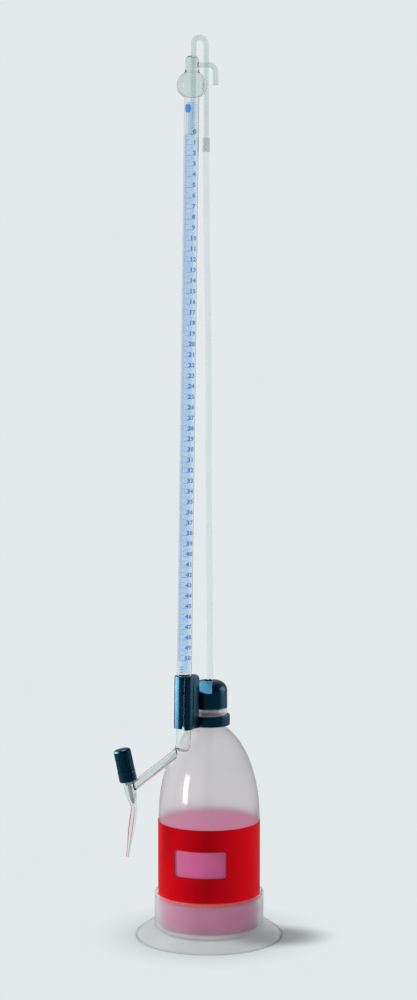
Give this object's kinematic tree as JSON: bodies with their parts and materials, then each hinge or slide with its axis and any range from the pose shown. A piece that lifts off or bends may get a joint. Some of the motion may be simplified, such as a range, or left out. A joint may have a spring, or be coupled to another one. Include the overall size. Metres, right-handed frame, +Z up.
{
  "type": "automatic burette",
  "caption": "Self-zeroing burette with a fine scale, overflow bulb and needle valve, clipped to a squeeze bottle that stands in a wide foot.",
  "frame": {"origin": "on the bottle's axis, on the underside of the foot", "axes": "+Z up along the bottle's axis; the scale faces -Y, the valve and jet are on the -X side and the vent tube points to +X"},
  "size_m": [0.1563, 0.137, 0.8338],
  "materials": {
    "glass": "polished borosilicate glass",
    "foot_plastic": "translucent natural plastic, satin",
    "bottle_plastic": "translucent natural polyethylene",
    "label_print": "red print, satin",
    "liquid": "clear pink liquid",
    "blue_plastic": "dark blue moulded plastic, glossy",
    "white_plastic": "white moulded plastic",
    "tubing": "translucent soft tubing",
    "spindle_plastic": "white fluoropolymer, satin",
    "seal_rubber": "elastomer",
    "steel": "spring steel"
  },
  "bodies": {
    "foot": {"foot_base": "foot_plastic"},
    "reservoir": {"bottle": "bottle_plastic", "label_band": "label_print", "titrant": "liquid", "holder": "blue_plastic", "neck_gasket": "seal_rubber", "bung": "white_plastic", "dip_tube": "tubing", "riser_tube": "tubing", "riser_sleeve": "tubing", "fill_tube": "glass", "vent_tube": "glass", "overflow_bulb": "glass", "graduated_tube": "glass", "side_arm": "glass", "valve_barrel": "glass", "gland_seal": "white_plastic", "gland_nut": "blue_plastic", "jet_tip": "glass"},
    "cap_carrier": {"cap_slip_ring": "white_plastic"},
    "cap": {"screw_cap": "blue_plastic"},
    "needle": {"valve_spindle": "spindle_plastic", "spindle_o_ring": "seal_rubber", "knob_clip": "steel"},
    "knob": {"valve_knob": "blue_plastic", "knob_cap": "blue_plastic"}
  },
  "joints": [
    {"name": "bottle_lift", "type": "slide", "parent": "foot", "child": "reservoir", "axis": [0, 0, 1], "range_m": [0, 0.04]},
    {"name": "cap_rise", "type": "slide", "parent": "reservoir", "child": "cap_carrier", "axis": [0, 0, 1], "range_m": [0, 0.006]},
    {"name": "cap_turn", "type": "hinge", "parent": "cap_carrier", "child": "cap", "pos_m": [0, 0, 0.23], "axis": [0, 0, 1], "range_deg": [0, 540]},
    {"name": "needle_travel", "type": "slide", "parent": "reservoir", "child": "needle", "axis": [-0.2028, 0, 0.9792], "range_m": [0, 0.003]},
    {"name": "knob_turn", "type": "hinge", "parent": "needle", "child": "knob", "pos_m": [-0.07801, -0.03006, 0.17067], "axis": [-0.2028, 0, 0.9792], "range_deg": [0, 1080]}
  ],
  "couplings": [
    {"joint": "cap_rise", "follows": "cap_turn", "m_per_rad": 0.00063662},
    {"joint": "needle_travel", "follows": "knob_turn", "m_per_rad": 0.00015915}
  ]
}
